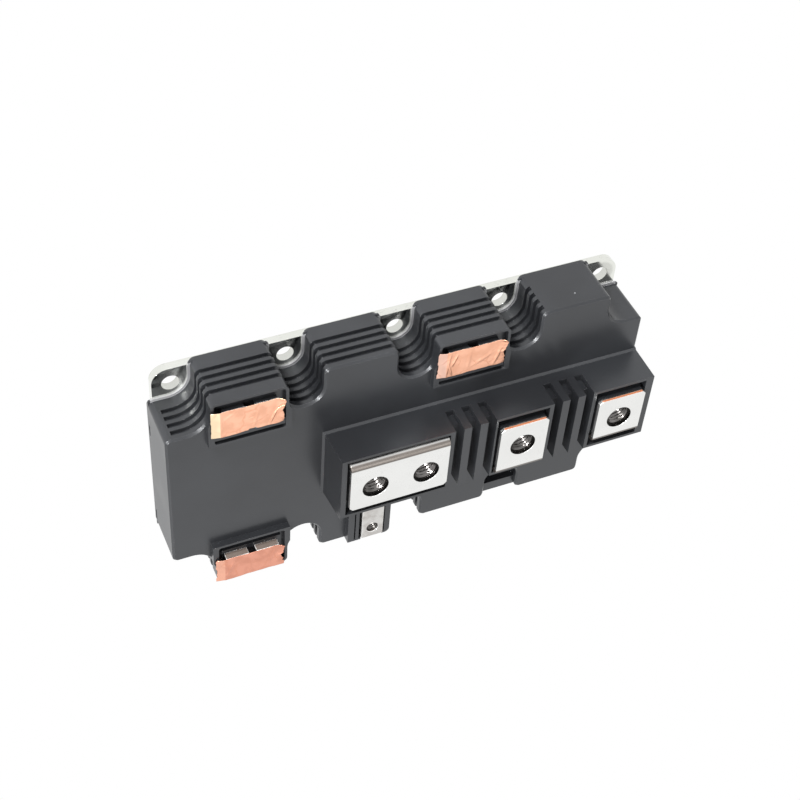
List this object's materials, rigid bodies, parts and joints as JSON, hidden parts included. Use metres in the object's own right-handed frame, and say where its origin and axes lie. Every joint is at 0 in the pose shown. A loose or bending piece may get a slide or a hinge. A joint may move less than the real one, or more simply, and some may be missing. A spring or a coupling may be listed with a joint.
{
  "type": "power semiconductor module",
  "caption": "Flat black moulded power module on a metal baseplate, with a raised strip of bolted power terminals and grooved recesses round its mounting holes.",
  "frame": {"origin": "centre of the baseplate's cooling face", "axes": "+X along the housing towards the supply terminals, +Y across it, +Z out of the cooling face towards the terminals"},
  "size_m": [0.172, 0.089, 0.038],
  "materials": {
    "nickel_plated_copper": "satin nickel plating over copper",
    "sealant": "cured silicone adhesive",
    "moulding": "fine matt moulded texture, polished in the recesses",
    "terminal_plating": "satin plating over copper",
    "nut_steel": "plated steel",
    "lug_plating": "satin plating",
    "copper_foil": "thin bare copper foil, lightly creased",
    "bare_copper": "bare copper",
    "ceramic": "fired white ceramic",
    "silicon": "metallised silicon",
    "wire_aluminium": "drawn aluminium wire",
    "sensor_body": "glazed",
    "gel": "clear soft gel"
  },
  "bodies": {
    "root": {"baseplate": "nickel_plated_copper", "adhesive_seal": "sealant", "housing": "moulding", "output_terminal": "terminal_plating", "plus_terminal": "terminal_plating", "minus_terminal": "terminal_plating", "power_nuts": "nut_steel", "upper_gate_lug": "lug_plating", "upper_emitter_lug": "lug_plating", "lower_gate_lug": "lug_plating", "lower_emitter_lug": "lug_plating", "thermistor_lug_a": "lug_plating", "thermistor_lug_b": "lug_plating", "sense_lug": "lug_plating", "control_nuts": "nut_steel", "upper_gate_foil": "copper_foil", "lower_gate_foil": "copper_foil", "thermistor_foil": "copper_foil", "substrate_backs": "bare_copper", "substrate_ceramics": "ceramic", "substrate_tracks": "bare_copper", "igbt_chips": "silicon", "diode_chips": "silicon", "bond_wires": "wire_aluminium", "thermistor": "sensor_body", "silicone_gel": "gel"}
  },
  "joints": []
}
